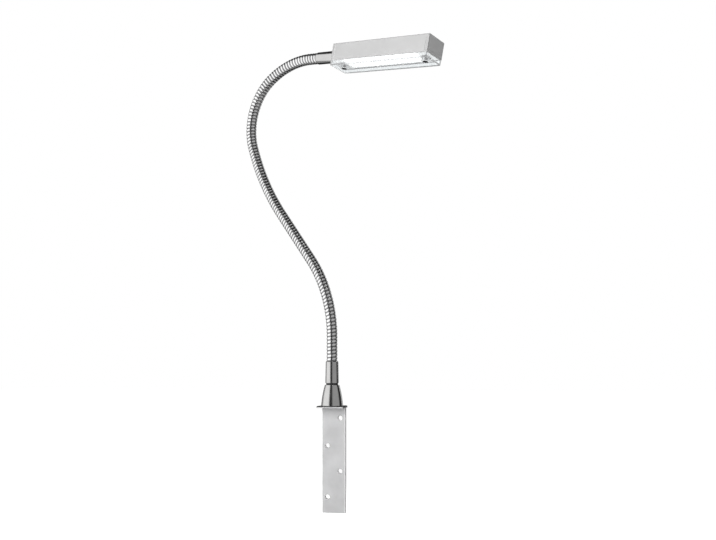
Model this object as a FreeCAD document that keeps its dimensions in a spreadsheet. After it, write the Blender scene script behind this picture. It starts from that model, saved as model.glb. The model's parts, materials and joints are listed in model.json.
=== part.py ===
import FreeCAD, Part
import math
import os
from types import SimpleNamespace

import Sketcher
from FreeCAD import Placement, Rotation, Vector

# Gooseneck wall sconce: a flat bar with a flange, a bell-shaped cover and a ferrule carry a ribbed
# steel arm, which ends in a box-shaped lamp head with a clear tray below it.
#
# Frame: the origin is the centre of the bar's back face. X points right, Y into the wall and Z up.
# Lengths are in millimetres and angles in degrees.

DRIVING_SIZES = {
    # Bracket
    "bar_width": 26.0,
    "bar_thickness": 6.0,
    "bar_length": 115.0,
    "bar_edge_break": 0.8,
    "hole_diameter": 5.0,
    "hole_column_offset": 7.0,
    "right_hole_drop_upper": 11.5,
    "left_hole_drop_upper": 41.5,
    "right_hole_drop_lower": 69.5,
    "left_hole_drop_lower": 97.5,
    "flange_width": 28.5,
    "flange_depth": 28.0,
    "flange_thickness": 2.2,
    # Threaded tube, washer, locknut and cable bushing under the cover
    "nipple_diameter": 10.0,
    "nipple_bore": 7.0,
    "thread_clearance": 0.05,
    "seat_clearance": 0.1,
    "base_washer_diameter": 18.0,
    "base_washer_thickness": 1.2,
    "base_nut_flats": 14.0,
    "base_nut_height": 5.0,
    "bushing_bore": 5.0,
    "bushing_length": 8.0,
    "bushing_lip_width": 0.9,
    "bushing_lip_thickness": 0.8,
    # Bell-shaped cover and ferrule
    "cone_base_diameter": 23.6,
    "cone_top_diameter": 15.6,
    "cone_height": 22.5,
    "cone_waist_diameter": 20.8,
    "cone_waist_height": 11.5,
    "cone_wall": 1.5,
    "cone_roof": 3.0,
    "ferrule_length": 25.5,
    "ferrule_bottom_diameter": 14.6,
    "ferrule_top_diameter": 13.6,
    "ferrule_neck_diameter": 12.9,
    "ferrule_neck_height": 0.7,
    "ferrule_mouth_chamfer": 0.7,
    "ferrule_thread_depth": 10.0,
    "ferrule_shoulder": 1.0,
    "ferrule_shoulder_bore": 6.6,
    # Ribbed arm
    "arm_diameter": 11.6,
    "arm_groove_depth": 0.5,
    "arm_bore": 5.8,
    "rib_pitch": 3.7,
    "rib_crest_length": 1.9,
    "rib_flank_length": 0.75,
    "bend_point_count": 6,
    "first_bend_height": 42.0,
    "last_bend_setback": 42.0,
    "ball_diameter": 9.0,
    "ball_clearance": 0.3,
    "ball_reach": 1.3,
    "socket_lip_gap": 0.5,
    "ball_shoulder_gap": 1.6,
    "lead_diameter": 4.4,
    "lead_end_gap": 0.3,
    # Route of the arm, in its own upright plane
    "arm_heading": 28.5,
    "lower_straight": 26.3,
    "lower_bend_radius": 135.8,
    "lower_bend_turn": 38.9,
    "middle_straight": 72.4,
    "easy_bend_radius": 255.5,
    "easy_bend_turn": 20.8,
    "crown_bend_radius": 61.5,
    "crown_bend_turn": 81.0,
    "upper_bend_radius": 98.5,
    "upper_straight": 11.8,
    "head_slope": 8.2,
    "head_roll": 5.2,
    # Collar, washer and locknut at the head
    "collar_length": 29.3,
    "collar_diameter": 12.6,
    "collar_socket_depth": 13.0,
    "stud_diameter": 8.0,
    "stud_bore": 5.0,
    "stud_spare_thread": 1.2,
    "head_washer_diameter": 13.6,
    "head_washer_thickness": 1.0,
    "head_nut_flats": 12.0,
    "head_nut_height": 4.0,
    # Lamp housing and its end caps
    "housing_length": 124.6,
    "housing_width": 26.5,
    "housing_height": 18.0,
    "housing_wall": 1.5,
    "housing_edge_radius": 0.6,
    "slot_rib_width": 1.2,
    "slot_rib_height": 1.0,
    "lower_rib_rise": 0.4,
    "end_cap_thickness": 3.6,
    "end_cap_edge_radius": 0.5,
    "end_cap_plug_depth": 2.0,
    "end_cap_block_length": 11.4,
    # Lamp board
    "carrier_thickness": 1.2,
    "board_width": 20.0,
    "board_thickness": 1.0,
    "board_inset": 1.0,
    "led_length": 3.5,
    "led_width": 2.8,
    "led_height": 0.7,
    "led_row_gap": 9.0,
    "led_pitch": 5.8,
    "led_count_per_row": 15,
    "terminal_length": 12.0,
    "terminal_width": 12.0,
    "terminal_height": 8.2,
    "terminal_setback": 20.0,
    "wire_diameter": 1.3,
    "core_spacing": 2.0,
    "board_wire_spacing": 6.0,
    "lead_tail": 14.0,
    # Clear cover
    "cover_depth": 5.0,
    "cover_wall": 1.6,
    "cover_corner_radius": 1.2,
    "cover_boss_diameter": 8.4,
    "screw_setback": 9.6,
    "screw_head_diameter": 5.6,
    "screw_head_height": 1.8,
    "screw_head_clearance": 0.2,
    "screw_shank_diameter": 2.9,
}

# How a sketch counts the points of a line or circle
START, END, CENTRE = range(1, 4)

# A cut this long goes right through any piece
THROUGH = 400.0

# A bend is drawn in steps that turn by no more than this, in radians
BEND_STEP = math.radians(5)

# The domed tip of a lead: how far each ring lies from the dome's centre, as a share of its radius
DOME_RINGS = (0.55, 0.9)


class Size:
    """A length that knows both its number and the spreadsheet expression behind it."""

    def __init__(self, number, text):
        self.number = number
        self.text = text

    @staticmethod
    def of(other):
        """The other operand as a Size, when it's a plain number."""
        return other if isinstance(other, Size) else Size(other, repr(float(other)))

    def join(self, other, sign, number):
        """The Size that an arithmetic sign makes of two others."""
        return Size(number, f"({self.text} {sign} {Size.of(other).text})")

    def __add__(self, other):
        return self.join(other, "+", self.number + Size.of(other).number)

    def __sub__(self, other):
        return self.join(other, "-", self.number - Size.of(other).number)

    def __mul__(self, other):
        return self.join(other, "*", self.number * Size.of(other).number)

    def __truediv__(self, other):
        return self.join(other, "/", self.number / Size.of(other).number)

    def __neg__(self):
        return Size(-self.number, f"(0 - {self.text})")


ZERO = Size(0.0, "0")

doc = FreeCAD.newDocument("gooseneck_wall_sconce")
sheet = doc.addObject("Spreadsheet::Sheet", "Sizes")


def fill_sheet():
    """Put each driving size in a row of the sheet and return them as Sizes."""
    sizes = {}
    for row, (alias, number) in enumerate(DRIVING_SIZES.items(), start=1):
        sheet.set(f"A{row}", alias.replace("_", " "))
        sheet.set(f"B{row}", str(number))
        sheet.setAlias(f"B{row}", alias)
        sizes[alias] = Size(number, f"Sizes.{alias}")
    doc.recompute()
    return SimpleNamespace(**sizes)


s = fill_sheet()


# ---------------------------------------------------------------------------
# Sizes that follow from the driving ones
# ---------------------------------------------------------------------------

bar_top = s.bar_length / 2
flange_top = bar_top + s.flange_thickness
arm_stand_off = s.flange_depth / 2
ferrule_bottom = flange_top + s.cone_height
ferrule_top = ferrule_bottom + s.ferrule_length
arm_seat = ferrule_bottom + s.ferrule_thread_depth + s.ferrule_shoulder
arm_foot = arm_seat + s.lead_end_gap
nipple_top = ferrule_bottom + s.ferrule_thread_depth - s.lead_end_gap
bushing_top = bar_top + s.bushing_length

stud_length = (
    s.end_cap_thickness + s.end_cap_plug_depth + s.head_washer_thickness + s.head_nut_height + s.stud_spare_thread
)
half_width = s.housing_width / 2
half_height = s.housing_height / 2
inner_half_width = half_width - s.housing_wall
block_end = s.end_cap_thickness + s.end_cap_block_length
block_height = half_height - s.head_washer_diameter / 2 - s.seat_clearance
lower_rib_top = -half_height + s.lower_rib_rise + s.slot_rib_height
carrier_bottom = lower_rib_top + s.seat_clearance
carrier_top = carrier_bottom + s.carrier_thickness
board_bottom = carrier_bottom - s.board_thickness
cover_bottom = -half_height - s.cover_depth


# ---------------------------------------------------------------------------
# Sketches and features
# ---------------------------------------------------------------------------


def new_body(label, placement=None):
    """An empty body, whose label names its file."""
    body = doc.addObject("PartDesign::Body", label)
    body.Label = label
    if placement is not None:
        body.Placement = placement
    return body


def new_sketch(body, role, offset=ZERO):
    """A sketch on one of the body's own origin planes, shifted along the plane's normal."""
    plane = next(item for item in body.Origin.OriginFeatures if item.Role == role)
    sketch = body.newObject("Sketcher::SketchObject", f"{body.Label}_sketch")
    sketch.AttachmentSupport = [(plane, "")]
    sketch.MapMode = "FlatFace"
    sketch.setExpression("AttachmentOffset.Base.z", offset.text)
    return sketch


def bind(sketch, kind, geometry, point, size, name):
    """Fix one coordinate of a sketch point, or a radius, to a size."""
    target = (geometry, size.number) if point is None else (geometry, point, size.number)
    index = sketch.addConstraint(Sketcher.Constraint(kind, *target))
    sketch.renameConstraint(index, name)
    sketch.setExpression(f"Constraints.{name}", size.text)


def as_sizes(points):
    """Points whose two coordinates are Sizes, also where plain numbers were given."""
    return [(Size.of(x), Size.of(y)) for x, y in points]


def draw_loop(sketch, points):
    """A closed outline of straight edges, with each corner bound to its two sizes."""
    points = as_sizes(points)
    places = [Vector(x.number, y.number, 0) for x, y in points]
    first = sketch.GeometryCount
    count = len(points)
    for index, start in enumerate(places):
        sketch.addGeometry(Part.LineSegment(start, places[(index + 1) % count]))
    for index, (x, y) in enumerate(points):
        edge = first + index
        before = first + (index - 1) % count
        sketch.addConstraint(Sketcher.Constraint("Coincident", before, END, edge, START))
        bind(sketch, "DistanceX", edge, START, x, f"x{edge}")
        bind(sketch, "DistanceY", edge, START, y, f"y{edge}")


def draw_circle(sketch, x, y, radius):
    """A circle with its centre and radius bound to sizes."""
    x, y, radius = Size.of(x), Size.of(y), Size.of(radius)
    edge = sketch.addGeometry(Part.Circle(Vector(x.number, y.number, 0), Vector(0, 0, 1), radius.number))
    bind(sketch, "DistanceX", edge, CENTRE, x, f"x{edge}")
    bind(sketch, "DistanceY", edge, CENTRE, y, f"y{edge}")
    bind(sketch, "Radius", edge, None, radius, f"r{edge}")


def draw_hexagon(sketch, flats):
    """A hexagon about the sketch's origin, with two flats level."""
    corner = flats / math.sqrt(3.0)
    draw_loop(sketch, [(corner, ZERO), (corner / 2, flats / 2), (-corner / 2, flats / 2),
                       (-corner, ZERO), (-corner / 2, -flats / 2), (corner / 2, -flats / 2)])


def pad(body, sketch, length):
    """Extrude a sketch along its plane's normal."""
    feature = body.newObject("PartDesign::Pad", f"{body.Label}_pad")
    feature.Profile = sketch
    feature.setExpression("Length", length.text)
    sketch.Visibility = False
    return feature


def pocket(body, sketch, length=None):
    """Cut a sketch along its plane's normal, to a length or right through both ways."""
    doc.recompute()
    before = body.Shape.Volume
    feature = body.newObject("PartDesign::Pocket", f"{body.Label}_pocket")
    feature.Profile = sketch
    if length is None:
        feature.Midplane = True
        feature.Length = THROUGH
    else:
        feature.Reversed = True
        feature.setExpression("Length", length.text)
    doc.recompute()
    if body.Shape.Volume >= before:
        raise RuntimeError(f"{body.Label}: a pocket cut nothing")
    return feature


def revolve(body, points):
    """Turn a closed outline of radius and height about the sketch's upright axis."""
    sketch = new_sketch(body, "XZ_Plane")
    draw_loop(sketch, points)
    feature = body.newObject("PartDesign::Revolution", f"{body.Label}_revolution")
    feature.Profile = sketch
    feature.ReferenceAxis = (sketch, ["V_Axis"])
    feature.Angle = 360.0
    return feature


def round_edges(body, feature, radius, wanted, kind="PartDesign::Fillet"):
    """Fillet or chamfer the edges of a feature that the test picks."""
    doc.recompute()
    names = [f"Edge{number}" for number, edge in enumerate(feature.Shape.Edges, start=1) if wanted(edge)]
    dress = body.newObject(kind, f"{body.Label}_{kind.split('::')[1].lower()}")
    dress.Base = (feature, names)
    dress.setExpression("Radius" if kind.endswith("Fillet") else "Size", radius.text)
    return dress


def runs_along(edge, axis):
    """Whether a straight edge runs along a unit vector."""
    if not isinstance(edge.Curve, (Part.Line, Part.LineSegment)):
        return False
    direction = edge.tangentAt(edge.FirstParameter)
    return abs(abs(direction.dot(axis)) - 1) < 1e-6


def fixed_shape(label, shape, placement=None):
    """A sub-part whose shape is worked out here from the sheet's sizes."""
    feature = doc.addObject("Part::Feature", label)
    feature.Label = label
    feature.Shape = shape
    if placement is not None:
        feature.Placement = placement
    return feature


# ---------------------------------------------------------------------------
# The arm's route: straight runs and tangent arcs in one upright plane
# ---------------------------------------------------------------------------


def route_pieces():
    """The route from the arm's foot to the head: each piece's length and its turn, in radians."""
    hidden_foot = ferrule_top.number - arm_foot.number
    last_turn = (
        90 + s.lower_bend_turn.number - s.easy_bend_turn.number - s.crown_bend_turn.number + s.head_slope.number
    )
    bends = (
        (s.lower_bend_radius.number, s.lower_bend_turn.number),
        (s.easy_bend_radius.number, -s.easy_bend_turn.number),
        (s.crown_bend_radius.number, -s.crown_bend_turn.number),
        (s.upper_bend_radius.number, -last_turn),
    )
    arcs = [(radius * abs(math.radians(turn)), math.radians(turn)) for radius, turn in bends]
    return [
        (hidden_foot + s.lower_straight.number, 0.0),
        arcs[0],
        (s.middle_straight.number, 0.0),
        arcs[1],
        arcs[2],
        arcs[3],
        (s.upper_straight.number + s.collar_length.number, 0.0),
    ]


HEADING = math.radians(s.arm_heading.number)
AWAY = Vector(math.cos(HEADING), -math.sin(HEADING), 0)
SIDE = Vector(math.sin(HEADING), math.cos(HEADING), 0)
UP = Vector(0, 0, 1)
FOOT = Vector(0, -arm_stand_off.number, arm_foot.number)


def lay_route():
    """The pieces with their first point, first angle, length and turn."""
    laid = []
    point, angle, start = FOOT, math.pi / 2, 0.0
    for length, turn in route_pieces():
        laid.append((start, length, turn, point, angle))
        point, angle = step_on(point, angle, length, turn, length)
        start += length
    return laid


def direction(angle):
    """The unit vector at an angle above the horizontal in the arm's plane."""
    return AWAY * math.cos(angle) + UP * math.sin(angle)


def step_on(point, angle, length, turn, travel):
    """The point and angle after some travel along a piece of the route."""
    if not turn:
        return point + direction(angle) * travel, angle
    radius = length / turn
    end_angle = angle + travel / radius
    centre = point + direction(angle + math.pi / 2) * radius
    return centre - direction(end_angle + math.pi / 2) * radius, end_angle


ROUTE = lay_route()
ROUTE_LENGTH = ROUTE[-1][0] + ROUTE[-1][1]


def piece_at(distance):
    """The piece of the route that holds a distance. The end pieces also serve before and past it."""
    return [ROUTE[0], *(piece for piece in ROUTE if piece[0] <= distance)][-1]


def at(distance):
    """The point and direction at a distance along the route."""
    start, length, turn, point, angle = piece_at(distance)
    place, way = step_on(point, angle, length, turn, distance - start)
    return place, direction(way)


def stations(first, last):
    """Distances that divide a stretch of the route into steps that turn little."""
    inner_marks = [piece[0] for piece in ROUTE[1:] if first < piece[0] < last]
    marks = [first, *inner_marks, last]
    places = [first]
    for begin, end in zip(marks, marks[1:]):
        length, turn = piece_at((begin + end) / 2)[1:3]
        steps = max(1, math.ceil(abs(turn) / length * (end - begin) / BEND_STEP))
        places += [begin + (end - begin) * step / steps for step in range(1, steps + 1)]
    return places


def ring(distance, radius):
    """A circle square to the route, whose X axis is always the plane's normal."""
    point, way = at(distance)
    circle = Part.Circle(point, way, radius)
    circle.XAxis = SIDE
    return Part.Wire([circle.toShape()])


def lofted(rings):
    """A solid ruled through circles, each given by its distance along the route and its radius."""
    return Part.makeLoft([ring(distance, radius) for distance, radius in rings], True, True)


def tube(first, last, radius):
    """A round solid along the route."""
    return lofted([(distance, radius) for distance in stations(first, last)])


# ---------------------------------------------------------------------------
# Ribbed arm and the lead in it
# ---------------------------------------------------------------------------

CREST = s.arm_diameter.number / 2
GROOVE = CREST - s.arm_groove_depth.number
MOUTH = ferrule_top.number - arm_foot.number
COLLAR_MOUTH = ROUTE_LENGTH - s.collar_length.number
ARM_END = COLLAR_MOUTH + s.collar_socket_depth.number - s.lead_end_gap.number


def bend_points():
    """Distances along the route at which the arm is cut, so that it can bend."""
    count = int(s.bend_point_count.number)
    first = MOUTH + s.first_bend_height.number
    last = COLLAR_MOUTH - s.last_bend_setback.number
    return [first + (last - first) * index / (count - 1) for index in range(count)]


def ribbed_skin(first, last):
    """A ruled loft through four circles a rib, from crest to crest, its ribs evenly spread."""
    crest, flank = s.rib_crest_length.number, s.rib_flank_length.number
    length = last - first
    count = max(2, round((length - crest) / s.rib_pitch.number) + 1)
    pitch = (length - crest) / (count - 1)
    rings = []
    for index in range(count):
        start = first + index * pitch
        rings += [(start - flank, GROOVE), (start, CREST), (start + crest, CREST), (start + crest + flank, GROOVE)]
    return lofted(rings[1:-1])


def on_sphere(radius, offset):
    """The radius of the circle that a plane cuts from a sphere, at an offset from its centre."""
    return math.sqrt(radius * radius - offset * offset)


def ball_end(pivot):
    """The ball at the foot of a section, which turns in the socket of the one below it."""
    radius = s.ball_diameter.number / 2
    reach, shoulder = s.ball_reach.number, s.ball_shoulder_gap.number
    return lofted([
        (pivot - reach, on_sphere(radius, reach)),
        (pivot, radius),
        (pivot + shoulder, on_sphere(radius, shoulder)),
    ])


def socket_room(pivot):
    """The room in the head of a section for the next one's ball: a round pit with a tapered floor."""
    point, way = at(pivot)
    ball = s.ball_diameter.number / 2
    radius = ball + s.ball_clearance.number
    depth = s.ball_reach.number + 2 * s.ball_clearance.number
    pit = Part.makeCylinder(radius, depth + radius, point - way * depth, way)
    floor = Part.makeCone(s.arm_bore.number / 2, radius, ball - depth, point - way * ball, way)
    return pit.fuse(floor)


def arm_section(first, last):
    """One ribbed length of the arm. A pivot at its foot gives it a ball, and one at its head a socket."""
    start = first if first == 0 else first + s.ball_shoulder_gap.number
    end = last if last == ARM_END else last - s.socket_lip_gap.number
    solid = ribbed_skin(start, end)
    if start > first:
        solid = solid.fuse(ball_end(first))
    beyond = s.arm_diameter.number
    solid = solid.cut(tube(first - beyond, last + beyond, s.arm_bore.number / 2))
    if end < last:
        solid = solid.cut(socket_room(last))
    return solid


def lead_section(first, last, domed_foot, domed_head):
    """The lead's length inside one section, with a dome where it meets the next."""
    radius = s.lead_diameter.number / 2
    gap = s.lead_end_gap.number / 2
    start = first + (gap + radius if domed_foot else 0)
    end = last - (gap + radius if domed_head else 0)
    dome = [(share * radius, on_sphere(radius, share * radius)) for share in DOME_RINGS]
    rings = [(distance, radius) for distance in stations(start, end)]
    if domed_foot:
        rings = [(start - offset, size) for offset, size in reversed(dome)] + rings
    if domed_head:
        rings += [(end + offset, size) for offset, size in dome]
    return lofted(rings)


def make_arm():
    """All sections of the arm, from the ferrule to the collar."""
    cuts = [0.0, *bend_points(), ARM_END]
    for number, (first, last) in enumerate(zip(cuts, cuts[1:]), start=1):
        fixed_shape(f"gooseneck_section_{number}", arm_section(first, last))


def make_lead():
    """The lead from the bushing to the lamp housing, cut where the arm bends."""
    start = bushing_top.number + s.lead_end_gap.number - arm_foot.number
    cuts = [start, *bend_points(), ROUTE_LENGTH + s.lead_tail.number]
    for number, (first, last) in enumerate(zip(cuts, cuts[1:]), start=1):
        shape = lead_section(first, last, number > 1, number < len(cuts) - 1)
        fixed_shape(f"lead_section_{number}", shape)


# ---------------------------------------------------------------------------
# Bracket and base
# ---------------------------------------------------------------------------

BASE = Placement(Vector(0, -arm_stand_off.number, 0), Rotation())


def make_wall_bracket():
    """The flat bar with its four holes, and the flange welded on its top."""
    body = new_body("wall_bracket")
    outline = new_sketch(body, "XY_Plane", -bar_top)
    side, front = s.bar_width / 2, -s.bar_thickness
    draw_loop(outline, [(-side, front), (side, front), (side, ZERO), (-side, ZERO)])
    bar = pad(body, outline, s.bar_length)
    bar = round_edges(body, bar, s.bar_edge_break, lambda edge: runs_along(edge, UP), "PartDesign::Chamfer")
    plate = new_sketch(body, "XY_Plane", bar_top)
    half = s.flange_width / 2
    draw_loop(plate, [(-half, -s.flange_depth), (half, -s.flange_depth), (half, ZERO), (-half, ZERO)])
    pad(body, plate, s.flange_thickness)
    threaded = new_sketch(body, "XY_Plane")
    draw_circle(threaded, ZERO, -arm_stand_off, s.nipple_diameter / 2 + s.thread_clearance)
    pocket(body, threaded)
    holes = new_sketch(body, "XZ_Plane")
    columns = (
        (s.hole_column_offset, s.right_hole_drop_upper),
        (-s.hole_column_offset, s.left_hole_drop_upper),
        (s.hole_column_offset, s.right_hole_drop_lower),
        (-s.hole_column_offset, s.left_hole_drop_lower),
    )
    for offset, drop in columns:
        draw_circle(holes, offset, bar_top - drop, s.hole_diameter / 2)
    pocket(body, holes)


def make_base_nipple():
    """The hollow threaded tube, counterbored at its foot for the bushing's lip."""
    body = new_body("base_nipple", BASE)
    outer, bore = s.nipple_diameter / 2, s.nipple_bore / 2
    lip_bore = bore + s.bushing_lip_width
    lip_top = bar_top + s.bushing_lip_thickness + s.seat_clearance
    revolve(body, [(lip_bore, bar_top), (outer, bar_top), (outer, nipple_top),
                   (bore, nipple_top), (bore, lip_top), (lip_bore, lip_top)])


def make_cable_bushing():
    """The lipped plastic liner where the lead leaves the base."""
    body = new_body("cable_bushing", BASE)
    outer, bore = s.nipple_bore / 2 - s.seat_clearance, s.bushing_bore / 2
    lip = outer + s.bushing_lip_width
    lip_top = bar_top + s.bushing_lip_thickness
    revolve(body, [(bore, bar_top), (lip, bar_top), (lip, lip_top), (outer, lip_top),
                   (outer, bushing_top), (bore, bushing_top)])


def make_base_washer():
    """The plain washer on the flange."""
    body = new_body("base_washer", BASE)
    sketch = new_sketch(body, "XY_Plane", flange_top)
    draw_circle(sketch, ZERO, ZERO, s.base_washer_diameter / 2)
    draw_circle(sketch, ZERO, ZERO, s.nipple_diameter / 2 + s.seat_clearance)
    pad(body, sketch, s.base_washer_thickness)


def make_base_locknut():
    """The hexagon nut that holds the tube in the flange."""
    body = new_body("base_locknut", BASE)
    sketch = new_sketch(body, "XY_Plane", flange_top + s.base_washer_thickness)
    draw_hexagon(sketch, s.base_nut_flats)
    draw_circle(sketch, ZERO, ZERO, s.nipple_diameter / 2 + s.thread_clearance)
    pad(body, sketch, s.base_nut_height)


def make_base_cone():
    """The bell-shaped cover: a shell that narrows faster above its waist, with a thick roof."""
    body = new_body("base_cone", BASE)
    foot, waist, top = s.cone_base_diameter / 2, s.cone_waist_diameter / 2, s.cone_top_diameter / 2
    waist_height = flange_top + s.cone_waist_height
    roof_bottom = ferrule_bottom - s.cone_roof
    bore = s.nipple_diameter / 2 + s.seat_clearance
    inner_foot = foot - s.cone_wall
    inner_top = inner_foot - (foot - top) * (s.cone_height - s.cone_roof) / s.cone_height
    revolve(body, [(foot, flange_top), (waist, waist_height), (top, ferrule_bottom), (bore, ferrule_bottom),
                   (bore, roof_bottom), (inner_top, roof_bottom), (inner_foot, flange_top)])


def make_base_ferrule():
    """The smooth sleeve: threaded below, with a socket for the arm's foot above."""
    body = new_body("base_ferrule", BASE)
    neck, low, high = s.ferrule_neck_diameter / 2, s.ferrule_bottom_diameter / 2, s.ferrule_top_diameter / 2
    neck_top = ferrule_bottom + s.ferrule_neck_height
    chamfer = s.ferrule_mouth_chamfer
    thread = s.nipple_diameter / 2 + s.thread_clearance
    thread_top = ferrule_bottom + s.ferrule_thread_depth
    shoulder = s.ferrule_shoulder_bore / 2
    socket = s.arm_diameter / 2 + s.seat_clearance
    revolve(body, [(thread, ferrule_bottom), (neck, ferrule_bottom), (neck, neck_top), (low, neck_top),
                   (high, ferrule_top - chamfer), (high - chamfer, ferrule_top), (socket, ferrule_top),
                   (socket, arm_seat), (shoulder, arm_seat), (shoulder, thread_top), (thread, thread_top)])


# ---------------------------------------------------------------------------
# Head: X along the housing from the collar, Y to its back, Z up
# ---------------------------------------------------------------------------


def head_placement():
    """Where the head's own frame lies: at the end of the route, rolled about its length."""
    point, length_axis = at(ROUTE_LENGTH)
    up_axis = SIDE.cross(length_axis) * -1
    tilt = Rotation(length_axis, SIDE, up_axis, "XYZ")
    return Placement(point, tilt * Rotation(Vector(1, 0, 0), -s.head_roll.number))


HEAD = head_placement()


def make_head_collar():
    """The smooth sleeve over the arm's end, with its hollow threaded stud."""
    upright = HEAD * Placement(Vector(), Rotation(Vector(0, 1, 0), 90))
    body = new_body("head_collar", upright)
    outer, stud, bore = s.collar_diameter / 2, s.stud_diameter / 2, s.stud_bore / 2
    socket = s.arm_diameter / 2 + s.seat_clearance
    mouth = -s.collar_length
    revolve(body, [(bore, stud_length), (stud, stud_length), (stud, ZERO), (outer, ZERO), (outer, mouth),
                   (socket, mouth), (socket, mouth + s.collar_socket_depth), (bore, mouth + s.collar_socket_depth)])


def make_head_washer():
    """The plain washer inside the left end cap."""
    body = new_body("head_washer", HEAD)
    sketch = new_sketch(body, "YZ_Plane", s.end_cap_thickness + s.end_cap_plug_depth)
    draw_circle(sketch, ZERO, ZERO, s.head_washer_diameter / 2)
    draw_circle(sketch, ZERO, ZERO, s.stud_diameter / 2 + s.seat_clearance)
    pad(body, sketch, s.head_washer_thickness)


def make_head_locknut():
    """The hexagon nut on the collar's stud, a flat turned down."""
    body = new_body("head_locknut", HEAD)
    start = s.end_cap_thickness + s.end_cap_plug_depth + s.head_washer_thickness
    sketch = new_sketch(body, "YZ_Plane", start)
    draw_hexagon(sketch, s.head_nut_flats)
    draw_circle(sketch, ZERO, ZERO, s.stud_diameter / 2 + s.thread_clearance)
    pad(body, sketch, s.head_nut_height)


def make_lamp_housing():
    """The extruded channel, open below, with a slot along each wall for the board's carrier."""
    body = new_body("lamp_housing", HEAD)
    sketch = new_sketch(body, "YZ_Plane", s.end_cap_thickness)
    roof = half_height - s.housing_wall
    rib = inner_half_width - s.slot_rib_width
    low_rib = -half_height + s.lower_rib_rise
    high_rib = carrier_top + s.seat_clearance
    inner = [
        (inner_half_width, roof),
        (inner_half_width, high_rib + s.slot_rib_height),
        (rib, high_rib + s.slot_rib_height),
        (rib, high_rib),
        (inner_half_width, high_rib),
        (inner_half_width, lower_rib_top),
        (rib, lower_rib_top),
        (rib, low_rib),
        (inner_half_width, low_rib),
        (inner_half_width, -half_height),
    ]
    mirrored = [(-y, z) for y, z in inner]
    outer = [(half_width, -half_height), (half_width, half_height),
             (-half_width, half_height), (-half_width, -half_height)]
    draw_loop(sketch, inner + outer + mirrored[::-1])
    channel = pad(body, sketch, s.housing_length - s.end_cap_thickness * 2)

    def upper_outer(edge):
        return runs_along(edge, Vector(1, 0, 0)) and abs(edge.CenterOfMass.z - half_height.number) < 1e-6

    round_edges(body, channel, s.housing_edge_radius, upper_outer)


def make_end_cap(label, placement, bored):
    """An end cap: its plate, the plug that enters the channel and the block that takes a cover screw."""
    body = new_body(label, placement)
    plate = new_sketch(body, "YZ_Plane")
    draw_loop(plate, [(-half_width, -half_height), (half_width, -half_height),
                      (half_width, half_height), (-half_width, half_height)])
    solid = pad(body, plate, s.end_cap_thickness)

    def outside(edge):
        return abs(edge.CenterOfMass.x) < 1e-6 and edge.CenterOfMass.z > -half_height.number + 1e-6

    round_edges(body, solid, s.end_cap_edge_radius, outside)
    reach = inner_half_width - s.slot_rib_width - s.seat_clearance
    roof = half_height - s.housing_wall - s.seat_clearance
    plug = new_sketch(body, "YZ_Plane", s.end_cap_thickness)
    draw_loop(plug, [(-reach, -half_height), (reach, -half_height), (reach, roof), (-reach, roof)])
    pad(body, plug, s.end_cap_plug_depth)
    block = new_sketch(body, "YZ_Plane", s.end_cap_thickness)
    block_top = -half_height + block_height
    draw_loop(block, [(-reach, -half_height), (reach, -half_height), (reach, block_top), (-reach, block_top)])
    pad(body, block, s.end_cap_block_length)
    threaded = new_sketch(body, "XY_Plane", -half_height)
    draw_circle(threaded, s.screw_setback, ZERO, s.screw_shank_diameter / 2 + s.thread_clearance)
    pocket(body, threaded, block_height)
    if bored:
        stud_hole = new_sketch(body, "YZ_Plane")
        draw_circle(stud_hole, ZERO, ZERO, s.stud_diameter / 2 + s.seat_clearance)
        pocket(body, stud_hole)


def far_end():
    """The head's frame at its far end, turned to look back along the housing."""
    shift = Placement(Vector(s.housing_length.number, 0, 0), Rotation(Vector(0, 0, 1), 180))
    return HEAD * shift


def make_board_carrier():
    """The strip that slides into the channel's slots, with a hole for each wire to the board."""
    body = new_body("board_carrier", HEAD)
    start = block_end + s.seat_clearance * 2
    side = inner_half_width - s.seat_clearance
    sketch = new_sketch(body, "XY_Plane", carrier_bottom)
    draw_loop(sketch, [(start, -side), (s.housing_length - start, -side),
                       (s.housing_length - start, side), (start, side)])
    pad(body, sketch, s.carrier_thickness)
    holes = new_sketch(body, "XY_Plane", carrier_bottom)
    for y in (s.board_wire_spacing / 2, -s.board_wire_spacing / 2):
        draw_circle(holes, terminal_middle(), y, s.wire_diameter / 2 + s.seat_clearance)
    pocket(body, holes, s.carrier_thickness)


def terminal_middle():
    """The distance along the head of the terminal block's middle."""
    return s.terminal_setback + s.terminal_length / 2


def make_led_board():
    """The strip of aluminium board under the carrier."""
    body = new_body("led_board", HEAD)
    start = block_end + s.seat_clearance * 2 + s.board_inset
    sketch = new_sketch(body, "XY_Plane", board_bottom)
    draw_loop(sketch, [(start, -s.board_width / 2), (s.housing_length - start, -s.board_width / 2),
                       (s.housing_length - start, s.board_width / 2), (start, s.board_width / 2)])
    pad(body, sketch, s.board_thickness)


def make_leds():
    """Two rows of small light packages on the board, each its own solid."""
    per_row = int(s.led_count_per_row.number)
    length, width, height = s.led_length.number, s.led_width.number, s.led_height.number
    bottom = board_bottom.number - height
    middle = s.housing_length.number / 2
    solids = []
    for row in (-1, 1):
        for index in range(per_row):
            x = middle + (index - (per_row - 1) / 2) * s.led_pitch.number - length / 2
            y = row * s.led_row_gap.number / 2 - width / 2
            solids.append(Part.makeBox(length, width, height, Vector(x, y, bottom)))
    fixed_shape("leds", Part.makeCompound(solids), HEAD)


def make_terminal_block():
    """The small block on the carrier where the lead's wires end."""
    body = new_body("terminal_block", HEAD)
    start, side = s.terminal_setback, s.terminal_width / 2
    end = start + s.terminal_length
    sketch = new_sketch(body, "XY_Plane", carrier_top)
    draw_loop(sketch, [(start, -side), (end, -side), (end, side), (start, side)])
    block = pad(body, sketch, s.terminal_height)
    round_edges(body, block, s.housing_edge_radius, lambda edge: runs_along(edge, UP))


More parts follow.
